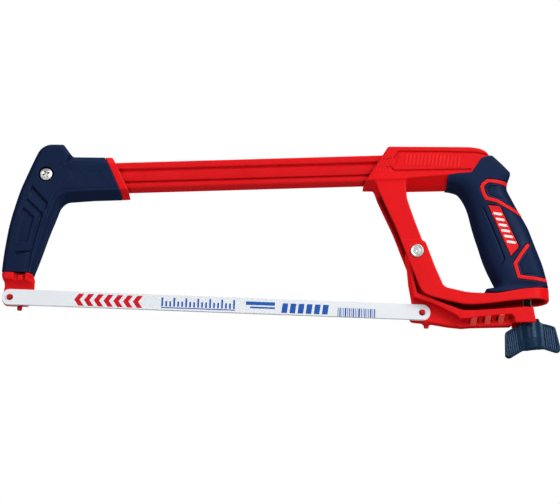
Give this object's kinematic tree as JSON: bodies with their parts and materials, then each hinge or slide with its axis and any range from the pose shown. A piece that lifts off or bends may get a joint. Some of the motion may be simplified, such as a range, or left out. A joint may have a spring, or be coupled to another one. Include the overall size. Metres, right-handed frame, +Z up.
{
  "type": "hacksaw",
  "caption": "High-tension hacksaw: hollow beam, soft-covered front arm and pistol handle, and a wing nut under a lever that tightens a 300 mm blade.",
  "frame": {"origin": "On the blade's outer flat side, on the line between the axes of its two pins and halfway between them.", "axes": "+X along the blade from the toe towards the handle, +Y across the thickness of the saw away from the blade's outer side, +Z up from the blade to the beam. Metres."},
  "size_m": [0.4088, 0.0346, 0.1533],
  "materials": {
    "frame_paint": "smooth semi-gloss red powder coat on die-cast metal and tube",
    "soft_grip": "satin navy moulded rubber with moulded lines",
    "grip_inlay": "satin red moulded plastic",
    "fastener_steel": "zinc-plated steel with fine turning marks",
    "knob_plastic": "satin navy moulded plastic with ribbed wings",
    "insert_brass": "turned brass",
    "blade_paint": "thin glossy off-white paint on hardened steel"
  },
  "bodies": {
    "frame": {"beam": "frame_paint", "front_arm": "frame_paint", "front_arm_grip": "soft_grip", "front_arm_screw": "fastener_steel", "front_arm_screw_nut": "fastener_steel", "front_blade_pin": "frame_paint", "front_flush_cut_pin": "frame_paint", "rear_frame": "frame_paint", "beam_lock_screw": "fastener_steel", "handle_grip": "soft_grip", "grip_stripe_upper": "grip_inlay", "grip_stripe_lower": "grip_inlay", "grip_badge_left": "grip_inlay", "grip_badge_right": "grip_inlay", "lever_pivot_rivet": "fastener_steel", "bolt_pivot_pin": "fastener_steel"},
    "lever": {"tension_lever": "frame_paint", "rear_blade_pin": "frame_paint", "rear_flush_cut_pin": "frame_paint"},
    "bolt": {"tension_bolt": "fastener_steel"},
    "washer": {"thrust_washer": "fastener_steel"},
    "nut": {"wing_nut": "knob_plastic", "wing_nut_insert": "insert_brass"},
    "blade": {"blade": "blade_paint"}
  },
  "joints": [
    {"name": "lever_swing", "type": "hinge", "parent": "frame", "child": "lever", "pos_m": [0.14465, 0.00535, 0.0432], "axis": [0, 1, 0], "range_deg": [0, 6.41]},
    {"name": "bolt_tilt", "type": "hinge", "parent": "frame", "child": "bolt", "pos_m": [0.2255, 0.00535, 0.022], "axis": [0, 1, 0], "range_deg": [0, 12.02]},
    {"name": "washer_slide", "type": "slide", "parent": "bolt", "child": "washer", "axis": [0.1392, 0, -0.9903], "range_m": [0, 0.00901]},
    {"name": "wing_nut_turn", "type": "hinge", "parent": "washer", "child": "nut", "pos_m": [0.2255, 0.00535, 0.022], "axis": [0.1392, 0, -0.9903], "range_deg": [0, 3240]},
    {"name": "blade_slide", "type": "slide", "parent": "frame", "child": "blade", "axis": [0, -1, 0], "range_m": [0, 0.01801]}
  ],
  "couplings": [
    {"joint": "lever_swing", "follows": "wing_nut_turn", "ratio": 0.0019753},
    {"joint": "bolt_tilt", "follows": "wing_nut_turn", "ratio": 0.0037037},
    {"joint": "washer_slide", "follows": "wing_nut_turn", "m_per_rad": 0.00015915},
    {"joint": "blade_slide", "follows": "wing_nut_turn", "m_per_rad": 0.00031831}
  ]
}
